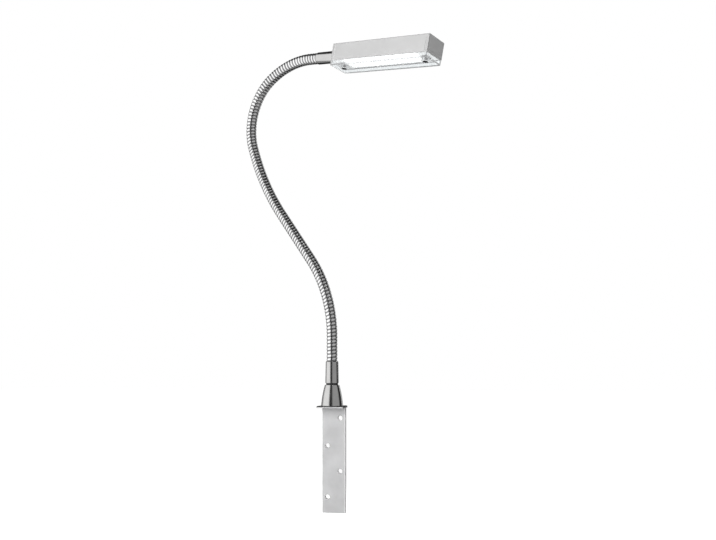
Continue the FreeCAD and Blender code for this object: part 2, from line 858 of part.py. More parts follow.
def make_wires():
    """The lead's two cores up to the terminal block, and the two wires from there down to the board."""
    radius = s.wire_diameter.number / 2
    reach = s.terminal_setback.number - s.lead_tail.number
    cores = []
    drops = []
    for side in (-1, 1):
        core_start = Vector(s.lead_tail.number, side * s.core_spacing.number / 2, 0)
        cores.append(Part.makeCylinder(radius, reach, core_start, Vector(1, 0, 0)))
        drop_foot = Vector(terminal_middle().number, side * s.board_wire_spacing.number / 2, carrier_bottom.number)
        drops.append(Part.makeCylinder(radius, s.carrier_thickness.number, drop_foot, UP))
    fixed_shape("lead_wires", Part.makeCompound(cores), HEAD)
    fixed_shape("board_wires", Part.makeCompound(drops), HEAD)


def screw_places():
    """How far along the head the two cover screws stand."""
    return s.screw_setback, s.housing_length - s.screw_setback


def make_clear_cover():
    """The clear tray: a shallow box open above, with a boss for each screw."""
    body = new_body("clear_cover", HEAD)
    outline = new_sketch(body, "XY_Plane", cover_bottom)
    draw_loop(outline, [(ZERO, -half_width), (s.housing_length, -half_width),
                        (s.housing_length, half_width), (ZERO, half_width)])
    tray = pad(body, outline, s.cover_depth)
    round_edges(body, tray, s.cover_corner_radius, lambda edge: runs_along(edge, UP))
    wall = s.cover_wall
    hollow = new_sketch(body, "XY_Plane", cover_bottom + wall)
    side = half_width - wall
    draw_loop(hollow, [(wall, -side), (s.housing_length - wall, -side),
                       (s.housing_length - wall, side), (wall, side)])
    pocket(body, hollow, s.cover_depth - wall)
    bosses = new_sketch(body, "XY_Plane", cover_bottom)
    for x in screw_places():
        draw_circle(bosses, x, ZERO, s.cover_boss_diameter / 2)
    pad(body, bosses, s.cover_depth)
    shank_holes = new_sketch(body, "XY_Plane", cover_bottom)
    head_holes = new_sketch(body, "XY_Plane", cover_bottom)
    for x in screw_places():
        draw_circle(shank_holes, x, ZERO, s.screw_shank_diameter / 2 + s.screw_head_clearance)
        draw_circle(head_holes, x, ZERO, s.screw_head_diameter / 2 + s.screw_head_clearance)
    pocket(body, shank_holes)
    pocket(body, head_holes, s.screw_head_height)


def make_cover_screws():
    """Two screws from below, through the tray's bosses into the end caps' blocks."""
    shank = s.screw_shank_diameter.number / 2
    shank_length = s.cover_depth.number - s.screw_head_height.number + block_height.number
    solids = []
    for x in screw_places():
        foot = Vector(x.number, 0, cover_bottom.number)
        head = Part.makeCylinder(s.screw_head_diameter.number / 2, s.screw_head_height.number, foot, UP)
        stem = Part.makeCylinder(shank, shank_length, foot + UP * s.screw_head_height.number, UP)
        solids.append(head.fuse(stem).removeSplitter())
    fixed_shape("cover_screws", Part.makeCompound(solids), HEAD)


# ---------------------------------------------------------------------------
# Build, test and write
# ---------------------------------------------------------------------------


def make_all():
    """Every sub-part, from the wall outwards."""
    make_wall_bracket()
    make_base_nipple()
    make_cable_bushing()
    make_base_washer()
    make_base_locknut()
    make_base_cone()
    make_base_ferrule()
    make_arm()
    make_lead()
    make_head_collar()
    make_head_washer()
    make_head_locknut()
    make_lamp_housing()
    make_end_cap("end_cap_left", HEAD, bored=True)
    make_end_cap("end_cap_right", far_end(), bored=False)
    make_board_carrier()
    make_led_board()
    make_leds()
    make_terminal_block()
    make_wires()
    make_clear_cover()
    make_cover_screws()


def sub_parts():
    """The objects that are pieces of the sconce."""
    return [item for item in doc.Objects if item.TypeId in ("PartDesign::Body", "Part::Feature")]


def test_document():
    """Stop if an object failed or a sub-part has no sound shape."""
    for item in doc.Objects:
        if "Invalid" in item.State or "Error" in item.State:
            raise RuntimeError(f"{item.Name} failed: {item.State}")
    for item in sub_parts():
        if item.Shape.isNull() or not item.Shape.isValid() or not item.Shape.Solids:
            raise RuntimeError(f"{item.Label} has no valid shape")


def write_parts():
    """One STEP file for each sub-part, named by its label."""
    os.makedirs("parts", exist_ok=True)
    for item in sub_parts():
        item.Shape.exportStep(os.path.join("parts", f"{item.Label}.step"))


make_all()
doc.recompute()
test_document()
write_parts()
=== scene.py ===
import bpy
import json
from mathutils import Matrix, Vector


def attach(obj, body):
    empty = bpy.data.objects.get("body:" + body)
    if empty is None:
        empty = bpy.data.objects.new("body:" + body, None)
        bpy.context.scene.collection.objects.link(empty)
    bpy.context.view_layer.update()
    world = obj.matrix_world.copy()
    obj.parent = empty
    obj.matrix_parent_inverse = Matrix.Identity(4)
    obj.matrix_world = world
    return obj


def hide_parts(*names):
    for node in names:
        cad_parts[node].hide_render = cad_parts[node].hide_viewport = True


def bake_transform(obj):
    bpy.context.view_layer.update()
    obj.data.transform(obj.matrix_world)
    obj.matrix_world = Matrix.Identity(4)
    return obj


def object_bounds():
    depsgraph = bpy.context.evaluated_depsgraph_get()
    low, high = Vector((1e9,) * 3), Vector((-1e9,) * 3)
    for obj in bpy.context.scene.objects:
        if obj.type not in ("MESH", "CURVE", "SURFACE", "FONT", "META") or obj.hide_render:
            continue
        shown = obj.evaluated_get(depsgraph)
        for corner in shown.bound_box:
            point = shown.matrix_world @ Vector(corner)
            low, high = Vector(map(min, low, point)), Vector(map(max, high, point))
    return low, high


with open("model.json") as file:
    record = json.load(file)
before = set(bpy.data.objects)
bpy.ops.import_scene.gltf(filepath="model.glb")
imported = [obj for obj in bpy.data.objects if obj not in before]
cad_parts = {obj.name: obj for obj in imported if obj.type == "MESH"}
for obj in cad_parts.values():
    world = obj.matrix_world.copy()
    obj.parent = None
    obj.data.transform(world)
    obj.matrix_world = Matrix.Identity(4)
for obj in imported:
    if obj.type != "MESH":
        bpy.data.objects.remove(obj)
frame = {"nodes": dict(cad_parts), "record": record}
CAD_BOX = [list(corner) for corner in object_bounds()]

import json
import math

import bpy
from bpy.props import FloatProperty, FloatVectorProperty, IntProperty, PointerProperty
from mathutils import Matrix, Vector

bl_info = {
    "name": "Gooseneck wall sconce",
    "version": (1, 0, 0),
    "blender": (4, 5, 0),
    "location": "View3D > Sidebar > Sconce",
    "description": "Dresses the gooseneck wall sconce and sets its studio",
    "category": "Object",
}

MM = 0.001
FULL_TURN = 2 * math.pi
WHITE = (1.0, 1.0, 1.0, 1.0)

# ---------------------------------------------------------------------------
# Places that the CAD part fixes
# ---------------------------------------------------------------------------

ARM_AXIS = Vector((0, -14, 0)) * MM
FLANGE_TOP = 59.7 * MM
CONE_TOP = 82.2 * MM
FERRULE_TOP = 107.7 * MM
THREAD_RADIUS = 5.05 * MM
FLANGE_THICKNESS = 2.2 * MM
ARM_SOCKET_RADIUS = 5.9 * MM

# The route of the arm from its foot inside the ferrule, in millimetres: straight runs as (length,),
# bends as (radius, turn in degrees), a turn to the left counted positive
ARM_FOOT = Vector((0, -14, 93.5)) * MM
ARM_HEADING = math.radians(28.5)
ARM_ROUTE = ((40.5,), (135.8, 38.9), (72.4,), (255.5, -20.8), (61.5, -81.0), (98.5, -35.3), (41.1,))
BEND_POINTS = 6

# Along the route: the ferrule's mouth, the collar at the other end, and how far the first and the
# last bend point keep from them
FERRULE_MOUTH = 14.2 * MM
COLLAR_LENGTH = 29.3 * MM
END_SETBACK = 42.0 * MM

AWAY = Vector((math.cos(ARM_HEADING), -math.sin(ARM_HEADING), 0))
SIDE = Vector((math.sin(ARM_HEADING), math.cos(ARM_HEADING), 0))
UP = Vector((0, 0, 1))

# The lamp head's own frame: X along it from the collar, Y to its back, Z up
HEAD_SLOPE = math.radians(8.2)
HEAD_ROLL = math.radians(5.2)
HOUSING_LENGTH = 124.6 * MM
SCREW_SETBACK = 9.6 * MM

ARM_BODIES = ("wall_base", "arm_link_2", "arm_link_3", "arm_link_4", "arm_link_5", "arm_link_6", "lamp_head")

# ---------------------------------------------------------------------------
# Values that only the looks need
# ---------------------------------------------------------------------------

# The dark groove under the ferrule, higher here than the CAD part's 0.7 mm, to show as in the photograph
# Its faces get a near-black finish: painted shade inside the groove
GROOVE_HEIGHT = 2.0 * MM

# Two places closer than this are one
TOUCH = 0.01 * MM
MERGE_DISTANCE = MM / 1000

# The share of a length of winding at each of its ends, where route points are reckoned and then left unused
STIFF_SHARE = 0.08

# What metal mirrors, by the direction in degrees and the level of grey: soft panels with dark between them
PANEL_STOPS = (
    (-180, 0.02), (-142, 0.02), (-134, 0.4), (-108, 0.42), (-98, 1.15), (-28, 1.15), (-17, 0.04), (9, 0.04),
    (18, 0.42), (92, 0.42), (101, 0.02), (138, 0.03), (143, 0.85), (159, 0.85), (163, 0.02), (180, 0.02),
)
PANEL_DROP = 0.09
PANEL_FULL_BELOW = 0.78
PANEL_DARK_ABOVE = 0.86
PANEL_DARK_LEVEL = 0.06

FLOOR_SIZE = 40
FLOOR_TONE = (0.7, 0.7, 0.7, 1)
FLOOR_ROUGHNESS = 0.9
FLOOR_GLOW = 0.9

LIGHT_TARGET = (0, 0, 0.2)
LIGHT_SIZE = 0.9
KEY_PLACE = (-0.08, -1.5, 0.42)
BACK_PLACE = (-1.0, 1.2, 0.7)

# The view of the photograph: its width, focal length and the picture's shift, in its own pixels
IMAGE_WIDTH = 716
FOCAL_PIXELS = 900
SHIFT_PIXELS = 105
SENSOR_WIDTH = 36.0
CAMERA_PLACE = (0.19398, -0.96686, 0.09288)
CAMERA_HEADING = math.radians(9.86)
CAMERA_NEAR = 0.01


# ---------------------------------------------------------------------------
# Sizes and colours that a user may change
# ---------------------------------------------------------------------------


def colour(name, description, value):
    """A colour swatch with its usual settings."""
    return FloatVectorProperty(
        name=name, description=description, default=value, size=3, subtype="COLOR", min=0.0, max=1.0
    )


def length(name, description, value):
    """A length in metres."""
    return FloatProperty(
        name=name, description=description, default=value, min=0.0, subtype="DISTANCE", unit="LENGTH"
    )


class SconceSizes(bpy.types.PropertyGroup):
    """Sizes of the pieces that are modelled over the CAD part"""

    arm_radius: length("Arm radius", "Outer radius of the wound arm", 5.8 * MM)
    wire_width: length("Wire width", "Width along the arm of the wire that it is wound from", 2.6 * MM)
    wire_height: length("Wire height", "Height of that wire", 1.4 * MM)
    filler_radius: length("Filler wire reach", "Outer radius of the wedge wire between the turns", 5.35 * MM)
    turns_per_length: IntProperty(
        name="Turns per length",
        description="Turns of wire between two of the arm's bend points",
        default=19,
        min=4,
    )
    edge_round: length("Edge rounding", "Rounding of the turned pieces' edges", 0.25 * MM)


class SconceColours(bpy.types.PropertyGroup):
    """Colours of the finishes"""

    nickel: colour("Nickel", "Satin nickel of the base and the collar", (0.6, 0.597, 0.592))
    arm: colour("Arm", "Polished steel of the arm's wound wire", (0.92, 0.92, 0.92))
    bracket: colour("Bracket", "Brushed steel of the wall bracket", (0.58, 0.58, 0.585))
    housing: colour("Housing", "Silver finish of the lamp housing", (0.555, 0.555, 0.555))
    end_cap: colour("End caps", "Silver finish of the end caps", (0.5, 0.5, 0.5))
    # The wedge wire's darker grey is painted shade for the gaps between the arm's turns
    wedge: colour("Wedge wire", "Darker wire between the arm's turns", (0.28, 0.28, 0.285))
    lead: colour("Lead", "Jacket of the lead", (0.70, 0.70, 0.69))
    screw: colour("Screws", "Blackened steel of the cover's screws", (0.12, 0.12, 0.125))


class SconceStage(bpy.types.PropertyGroup):
    """The studio round the sconce"""

    floor_drop: length("Floor drop", "How far the floor lies below the bracket", 0.22)
    key_power: FloatProperty(
        name="Key light", description="Power of the large soft light", default=24.0, min=0.0
    )
    back_power: FloatProperty(
        name="Back light", description="Power of the light behind", default=24.0, min=0.0
    )
    fill_level: FloatProperty(
        name="Fill level", description="Level of the even light from all round", default=0.16
    )


# ---------------------------------------------------------------------------
# Hands-on modelling helpers
# ---------------------------------------------------------------------------


def deselect_all():
    """Leave edit mode and select nothing."""
    if bpy.context.object and bpy.context.object.mode != "OBJECT":
        bpy.ops.object.mode_set(mode="OBJECT")
    bpy.ops.object.select_all(action="DESELECT")


def pick(obj):
    """Select one object alone and make it active."""
    deselect_all()
    obj.select_set(True)
    bpy.context.view_layer.objects.active = obj
    return obj


def apply_place(obj):
    """Move the object's place, turn and size into its mesh."""
    pick(obj)
    bpy.ops.object.transform_apply(location=True, rotation=True, scale=True)


def apply_modifiers(obj):
    """Apply the object's modifiers from the first to the last."""
    pick(obj)
    for name in [modifier.name for modifier in obj.modifiers]:
        bpy.ops.object.modifier_apply(modifier=name)


def draw_outline(name, points, closed=True):
    """A chain of edges through points of the XZ plane, extruded one after the other."""
    deselect_all()
    bpy.ops.mesh.primitive_plane_add(size=MM)
    obj = bpy.context.object
    obj.name = name
    bpy.ops.object.mode_set(mode="EDIT")
    bpy.ops.mesh.select_mode(type="VERT")
    bpy.ops.mesh.select_all(action="SELECT")
    bpy.ops.mesh.merge(type="CENTER")
    places = [Vector((x, 0, z)) for x, z in points]
    bpy.ops.transform.translate(value=places[0])
    for here, there in zip(places, places[1:]):
        bpy.ops.mesh.extrude_region_move(TRANSFORM_OT_translate={"value": there - here})
    if closed:
        bpy.ops.mesh.extrude_region_move(TRANSFORM_OT_translate={"value": places[0] - places[-1]})
        bpy.ops.mesh.select_all(action="SELECT")
        bpy.ops.mesh.remove_doubles(threshold=MERGE_DISTANCE)
    bpy.ops.object.mode_set(mode="OBJECT")
    return obj


def turned_piece(name, points, steps=96, rounding=0.0, closed=True):
    """A closed solid of revolution about the Z axis, from an outline of radius and height.

    An outline that starts and ends on the axis isn't closed itself."""
    obj = draw_outline(name, points, closed)
    bpy.ops.object.mode_set(mode="EDIT")
    bpy.ops.mesh.select_all(action="SELECT")
    if rounding:
        bpy.ops.mesh.bevel(affect="VERTICES", offset=rounding, segments=3)
    bpy.ops.mesh.select_all(action="SELECT")
    bpy.ops.mesh.spin(steps=steps, angle=FULL_TURN, center=(0, 0, 0), axis=(0, 0, 1))
    bpy.ops.mesh.select_all(action="SELECT")
    bpy.ops.mesh.remove_doubles(threshold=MERGE_DISTANCE)
    bpy.ops.mesh.normals_make_consistent(inside=False)
    bpy.ops.object.mode_set(mode="OBJECT")
    bpy.ops.object.shade_smooth_by_angle(angle=math.radians(32))
    return obj


def finish_piece(obj, material, slot, body, *nodes):
    """Dress a rigid piece, let it ride on its body and stand for its CAD nodes."""
    if material:
        obj.data.materials.clear()
        obj.data.materials.append(material)
    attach(obj, body)
    if nodes:
        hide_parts(*nodes)


def softened_copy(node, name, width, extra=None):
    """A CAD solid's own shape as clean faces with small rounded edges, after one extra step in edit mode."""
    piece = bpy.data.objects.new(name, frame["nodes"][node].data.copy())
    bpy.context.collection.objects.link(piece)
    pick(piece)
    bpy.ops.object.mode_set(mode="EDIT")
    bpy.ops.mesh.select_all(action="SELECT")
    bpy.ops.mesh.remove_doubles(threshold=MERGE_DISTANCE)
    bpy.ops.mesh.dissolve_limited(angle_limit=math.radians(1))
    if extra:
        extra(piece)
    bpy.ops.object.mode_set(mode="OBJECT")
    bpy.ops.object.modifier_add(type="BEVEL")
    bevel = piece.modifiers[-1]
    bevel.width = width
    bevel.segments = 2
    bevel.limit_method = "ANGLE"
    bevel.angle_limit = math.radians(40)
    apply_modifiers(piece)
    bpy.ops.object.shade_smooth_by_angle(angle=math.radians(30))
    bpy.ops.object.modifier_add(type="WEIGHTED_NORMAL")
    piece.modifiers[-1].keep_sharp = True
    apply_modifiers(piece)
    return piece


def paint_faces(piece, material, chosen):
    """Give the faces that a test of centre and normal picks a material of their own."""
    piece.data.materials.append(material)
    index = len(piece.data.materials) - 1
    for face in piece.data.polygons:
        if chosen(face.center, face.normal):
            face.material_index = index


def box_in_head(node):
    """A node's lowest and highest corner in the lamp head's own frame."""
    back = head_matrix().inverted()
    corners = [back @ vertex.co for vertex in frame["nodes"][node].data.vertices]
    return [
        Vector(pick_end(corner[axis] for corner in corners) for axis in range(3)) for pick_end in (min, max)
    ]


def head_matrix():
    """The lamp head's own frame in the part's frame."""
    along = AWAY * math.cos(HEAD_SLOPE) - UP * math.sin(HEAD_SLOPE)
    above = along.cross(SIDE)
    origin = route_end()
    turn = Matrix((along, SIDE, above)).transposed().to_4x4()
    return Matrix.Translation(origin) @ turn @ Matrix.Rotation(-HEAD_ROLL, 4, "X")


# ---------------------------------------------------------------------------
# The arm's route
# ---------------------------------------------------------------------------


def heading(angle):
    """The unit vector at an angle above the horizontal in the arm's upright plane."""
    return AWAY * math.cos(angle) + UP * math.sin(angle)


def route_knots():
    """Points of the route with their direction and the handle lengths before and after them."""
    largest_step = math.radians(25)
    point, angle = ARM_FOOT.copy(), math.pi / 2
    knots = [[point.copy(), angle, 0.0, 0.0]]
    for run in ARM_ROUTE:
        if len(run) == 1:
            reach = run[0] * MM
            point = point + heading(angle) * reach
            knots[-1][3] = reach / 3
            knots.append([point.copy(), angle, reach / 3, 0.0])
            continue
        radius, turn = run[0] * MM, math.radians(run[1])
        parts = math.ceil(abs(turn) / largest_step)
        step = turn / parts
        handle = 4 / 3 * math.tan(abs(step) / 4) * radius
        for _ in range(parts):
            centre = point + heading(angle + math.copysign(math.pi / 2, step)) * radius
            angle += step
            point = centre - heading(angle + math.copysign(math.pi / 2, step)) * radius
            knots[-1][3] = handle
            knots.append([point.copy(), angle, handle, 0.0])
    return knots


def route_end():
    """Where the route ends, at the lamp head's left face."""
    return route_knots()[-1][0]


def route_length():
    """The length of the whole route."""
    bends = sum(run[0] * math.radians(abs(run[1])) for run in ARM_ROUTE if len(run) == 2)
    return (sum(run[0] for run in ARM_ROUTE if len(run) == 1) + bends) * MM


def draw_route():
    """The route as a curve that the windings are bent along."""
    deselect_all()
    bpy.ops.curve.primitive_bezier_curve_add()
    route = bpy.context.object
    route.name = "arm_route"
    route.data.resolution_u = 64
    route.data.twist_mode = "MINIMUM"
    spline = route.data.splines[0]
    knots = route_knots()
    spline.bezier_points.add(len(knots) - len(spline.bezier_points))
    for knot, (point, angle, before, after) in zip(spline.bezier_points, knots):
        knot.handle_left_type = knot.handle_right_type = "FREE"
        knot.co = point
        knot.handle_left = point - heading(angle) * before
        knot.handle_right = point + heading(angle) * after
    return route


# ---------------------------------------------------------------------------
# Shader groups
# ---------------------------------------------------------------------------


def new_group(name, inputs, outputs):
    """An empty shader group with named sockets and its two end nodes."""
    group = bpy.data.node_groups.new(name, "ShaderNodeTree")
    for label, kind, default in inputs:
        socket = group.interface.new_socket(name=label, in_out="INPUT", socket_type=kind)
        socket.default_value = default
    for label, kind in outputs:
        group.interface.new_socket(name=label, in_out="OUTPUT", socket_type=kind)
    entry = group.nodes.new("NodeGroupInput")
    exit_ = group.nodes.new("NodeGroupOutput")
    return group, entry, exit_


def make_grain_group():
    """Brushed or drawn grain: noise on the piece's own place, stretched along its lines."""
    group, entry, exit_ = new_group(
        "drawn_grain",
        [
            ("Turn", "NodeSocketVector", (0, 0, 0)),
            ("Density", "NodeSocketVector", (1, 1, 1)),
            ("Low", "NodeSocketFloat", 0.0),
            ("High", "NodeSocketFloat", 1.0),
        ],
        [("Height", "NodeSocketFloat"), ("Level", "NodeSocketFloat")],
    )
    place = group.nodes.new("ShaderNodeTexCoord")
    turn = group.nodes.new("ShaderNodeVectorRotate")
    turn.rotation_type = "EULER_XYZ"
    stretch = group.nodes.new("ShaderNodeVectorMath")
    stretch.operation = "MULTIPLY"
    noise = group.nodes.new("ShaderNodeTexNoise")
    noise.inputs["Scale"].default_value = 1.0
    noise.inputs["Detail"].default_value = 3.0
    level = group.nodes.new("ShaderNodeMapRange")
    level.inputs["From Min"].default_value = 0.3
    level.inputs["From Max"].default_value = 0.7
    group.links.new(place.outputs["Object"], turn.inputs["Vector"])
    group.links.new(entry.outputs["Turn"], turn.inputs["Rotation"])
    group.links.new(turn.outputs["Vector"], stretch.inputs[0])
    group.links.new(entry.outputs["Density"], stretch.inputs[1])
    group.links.new(stretch.outputs["Vector"], noise.inputs["Vector"])
    group.links.new(noise.outputs["Fac"], level.inputs["Value"])
    group.links.new(entry.outputs["Low"], level.inputs["To Min"])
    group.links.new(entry.outputs["High"], level.inputs["To Max"])
    group.links.new(noise.outputs["Fac"], exit_.inputs["Height"])
    group.links.new(level.outputs["Result"], exit_.inputs["Level"])
    return group


def make_mottle_group():
    """Soft patches between two tones of one colour."""
    group, entry, exit_ = new_group(
        "soft_mottle",
        [
            ("Scale", "NodeSocketFloat", 60.0),
            ("Dark", "NodeSocketColor", WHITE),
            ("Light", "NodeSocketColor", WHITE),
        ],
        [("Colour", "NodeSocketColor")],
    )
    place = group.nodes.new("ShaderNodeTexCoord")
    noise = group.nodes.new("ShaderNodeTexNoise")
    noise.inputs["Detail"].default_value = 4.0
    spread = group.nodes.new("ShaderNodeMapRange")
    spread.inputs["From Min"].default_value = 0.35
    spread.inputs["From Max"].default_value = 0.65
    mix = group.nodes.new("ShaderNodeMix")
    mix.data_type = "RGBA"
    group.links.new(place.outputs["Object"], noise.inputs["Vector"])
    group.links.new(entry.outputs["Scale"], noise.inputs["Scale"])
    group.links.new(noise.outputs["Fac"], spread.inputs["Value"])
    group.links.new(spread.outputs["Result"], mix.inputs["Factor"])
    group.links.new(entry.outputs["Dark"], mix.inputs["A"])
    group.links.new(entry.outputs["Light"], mix.inputs["B"])
    group.links.new(mix.outputs["Result"], exit_.inputs["Colour"])
    return group


def shade(colour_value, factor):
    """A colour with its alpha, made darker or lighter."""
    return tuple(min(1.0, channel * factor) for channel in colour_value) + (1.0,)


def new_material(name):
    """A material with its nodes, links and surface shader. A CAD material of that name gets another one."""
    plain = bpy.data.materials.get(name)
    if plain:
        plain.name = name + "_plain"
    material = bpy.data.materials.new(name)
    material.use_nodes = True
    nodes = material.node_tree.nodes
    return material, nodes, material.node_tree.links, nodes["Principled BSDF"]


def grained(
    name, base, metallic, roughness, density, turn=(0, 0, 0), depth=0.02 * MM, contrast=0.06, scale=60.0
):
    """A finish with drawn grain in its roughness and height, and soft patches in its colour.

    roughness is its lowest and highest value, and density the grain's lines per metre along each axis."""
    material, nodes, links, surface = new_material(name)
    grain = nodes.new("ShaderNodeGroup")
    grain.node_tree = bpy.data.node_groups["drawn_grain"]
    grain.inputs["Turn"].default_value = turn
    grain.inputs["Density"].default_value = density
    grain.inputs["Low"].default_value, grain.inputs["High"].default_value = roughness
    mottle = nodes.new("ShaderNodeGroup")
    mottle.node_tree = bpy.data.node_groups["soft_mottle"]
    mottle.inputs["Scale"].default_value = scale
    mottle.inputs["Dark"].default_value = shade(base, 1 - contrast)
    mottle.inputs["Light"].default_value = shade(base, 1 + contrast)
    bump = nodes.new("ShaderNodeBump")
    bump.inputs["Distance"].default_value = depth
    links.new(grain.outputs["Height"], bump.inputs["Height"])
    links.new(grain.outputs["Level"], surface.inputs["Roughness"])
    links.new(mottle.outputs["Colour"], surface.inputs["Base Color"])
    links.new(bump.outputs["Normal"], surface.inputs["Normal"])
    surface.inputs["Metallic"].default_value = metallic
    return material


def glowing(material, colour_value, strength):
    """Let a material give light of its own."""
    surface = material.node_tree.nodes["Principled BSDF"]
    surface.inputs["Emission Color"].default_value = colour_value
    surface.inputs["Emission Strength"].default_value = strength
    return material


def clear_plastic(name, tone):
    """A clear moulding, with the faint waviness of a moulded wall and a faint glow of its own: painted light
    that stands for the light from inside.
    """
    material = grained(name, tone, 0.0, (0.03, 0.07), (90, 90, 90), depth=0.03 * MM, contrast=0.01)
    surface = material.node_tree.nodes["Principled BSDF"]
    surface.inputs["Transmission Weight"].default_value = 1.0
    surface.inputs["IOR"].default_value = 1.4
    # Painted light: a faint glow of the moulding itself
    return glowing(material, WHITE, 0.07)


def make_finishes(colours):
    """All materials by name. The tuples here are lines of grain per metre along X, Y and Z."""
    around = (40, 40, 9000)
    head_turn = (0, HEAD_SLOPE, -ARM_HEADING)
    fine = (900, 900, 900)
    wire = (700, 700, 700)
    warm_white = (1.0, 0.97, 0.9, 1.0)
    return {
        "base_nickel": grained("base_nickel", colours.nickel, 1.0, (0.14, 0.22), around),
        "head_nickel": grained("head_nickel", colours.nickel, 1.0, (0.12, 0.2), (9000, 60, 60), turn=head_turn),
        "gooseneck_steel": grained("gooseneck_steel", colours.arm, 1.0, (0.1, 0.2), wire),
        # The wedge wire's darker finish is painted shade between the turns
        "wedge_painted_shade": grained("wedge_painted_shade", colours.wedge, 1.0, (0.25, 0.4), wire, contrast=0.2),
        # White that glows, for the caps' insides: painted light from the diodes
        "painted_lit_white": glowing(
            grained("painted_lit_white", (0.86, 0.86, 0.85), 0.0, (0.4, 0.55), fine, contrast=0.02), WHITE, 0.35
        ),
        "bracket_metal": grained(
            "bracket_metal", colours.bracket, 0.25, (0.38, 0.52), (2600, 2600, 18), contrast=0.08, scale=45.0
        ),
        # A near-white finish for the bracket's broken edges: a painted highlight
        "bracket_edge_highlight": grained(
            "bracket_edge_highlight", (0.93, 0.93, 0.93), 0.0, (0.3, 0.4), (900, 900, 60), contrast=0.03
        ),
        # A darker copy of the bracket's steel for its sides: painted shade
        "bracket_side_shade": grained("bracket_side_shade", (0.3, 0.3, 0.305), 0.25, (0.4, 0.55), (900, 900, 60)),
        "flange_face": grained("flange_face", (0.62, 0.62, 0.63), 1.0, (0.12, 0.2), (60, 2600, 60)),
        # Painted shade: a near-black finish for the inside of the ferrule's groove
        "painted_groove_shade": grained("painted_groove_shade", (0.05, 0.05, 0.052), 0.6, (0.45, 0.6), fine),
        "zinc_steel": grained("zinc_steel", (0.6, 0.61, 0.63), 1.0, (0.25, 0.4), (800, 800, 800)),
        "housing_metal": grained(
            "housing_metal", colours.housing, 0.25, (0.36, 0.46), (25, 2200, 2200),
            turn=head_turn, contrast=0.02,
        ),
        "polished_edge": grained("polished_edge", (0.6, 0.6, 0.6), 1.0, (0.2, 0.3), fine),
        "cap_plastic": grained("cap_plastic", colours.end_cap, 0.1, (0.42, 0.55), fine, contrast=0.03),
        "lead_jacket": grained("lead_jacket", colours.lead, 0.0, (0.45, 0.6), fine),
        "bushing_plastic": grained("bushing_plastic", (0.03, 0.03, 0.033), 0.0, (0.4, 0.55), fine),
        # The carrier, the board and the diodes' packages glow a little though they are no lamps: painted light;
        # only the phosphor is the lamp
        "carrier_plastic": glowing(
            grained("carrier_plastic", (0.86, 0.86, 0.85), 0.0, (0.4, 0.55), fine), WHITE, 0.5
        ),
        "board_aluminium": glowing(
            grained("board_lacquer", (0.88, 0.88, 0.87), 0.0, (0.3, 0.4), fine, contrast=0.02), WHITE, 0.9
        ),
        "led_package": glowing(
            grained("led_package", (0.9, 0.9, 0.88), 0.0, (0.25, 0.35), fine), WHITE, 0.9
        ),
        "led_phosphor": glowing(
            grained("led_phosphor", (0.92, 0.84, 0.42), 0.0, (0.25, 0.35), fine), warm_white, 9.0
        ),
        "terminal_plastic": grained("terminal_plastic", (0.85, 0.85, 0.83), 0.0, (0.25, 0.35), fine),
        "core_copper": grained("core_copper", (0.72, 0.42, 0.25), 1.0, (0.25, 0.4), fine),
        "cover_clear": clear_plastic("clear_moulding", (0.92, 0.94, 0.95)),
        # A darker copy of the clear moulding for the cover's rounded edges: painted shade along them
        "cover_edge_shade": clear_plastic("clear_edge_shade", (0.35, 0.36, 0.37)),
        "screw_steel": grained("screw_steel", colours.screw, 1.0, (0.3, 0.45), fine),
    }


# ---------------------------------------------------------------------------
# Operators
# ---------------------------------------------------------------------------


class SCONCE_OT_finishes(bpy.types.Operator):
    """Build the finishes and give each CAD piece its own"""

    bl_idname = "sconce.finishes"
    bl_label = "Finishes"

    def execute(self, context):
        make_grain_group()
        make_mottle_group()
        materials = make_finishes(context.scene.sconce_colours)
        slots = {part["node"]: part["material_slot"] for part in frame["record"]["subparts"]}
        for name, obj in frame["nodes"].items():
            for slot in obj.material_slots:
                slot.material = materials[slots[name]]
        return {"FINISHED"}


def wound_length(name, sizes, pitch, turns):
    """A straight length of the winding along X: a flattened wire with a wedge wire between its turns."""
    crest, half_width, height = sizes.arm_radius, sizes.wire_width / 2, sizes.wire_height
    # The wire's rounded section, as shares of its half width and of its height
    profile = [(0.35, 0.0), (0.7, 0.06), (0.9, 0.2), (1.0, 0.42), (1.0, 0.75), (0.6, 1.0)]
    half_outline = [(share * half_width, crest - drop * height) for share, drop in profile]
    flat_wire = draw_outline("flat_wire", half_outline + [(-x, z) for x, z in reversed(half_outline)])
    outer = sizes.filler_radius
    middle, inner = outer - 0.5 * MM, outer - 0.95 * MM
    wide, waist, narrow = 1.1 * MM, 0.84 * MM, 0.5 * MM
    half = pitch / 2
    # The wedge wire takes the darker finish, painted shade between the turns
    wedge = draw_outline("wedge_wire", [
        (half - wide, outer), (half + wide, outer), (half + waist, middle),
        (half + narrow, inner), (half - narrow, inner), (half - waist, middle),
    ])
    for obj, finish in ((flat_wire, "gooseneck_steel"), (wedge, "wedge_painted_shade")):
        pick(obj)
        obj.data.materials.append(bpy.data.materials[finish])
        bpy.ops.object.modifier_add(type="SCREW")
        screw = obj.modifiers[-1]
        screw.axis = "X"
        screw.screw_offset = pitch
        screw.iterations = turns
        screw.steps = screw.render_steps = 32
        apply_modifiers(obj)
        bpy.ops.object.mode_set(mode="EDIT")
        bpy.ops.mesh.select_all(action="SELECT")
        bpy.ops.mesh.fill_holes(sides=0)
        bpy.ops.mesh.select_all(action="SELECT")
        bpy.ops.mesh.normals_make_consistent(inside=False)
        bpy.ops.object.mode_set(mode="OBJECT")
    deselect_all()
    wedge.select_set(True)
    flat_wire.select_set(True)
    bpy.context.view_layer.objects.active = flat_wire
    bpy.ops.object.join()
    bpy.ops.object.shade_smooth_by_angle(angle=math.radians(40))
    flat_wire.name = name
    return flat_wire


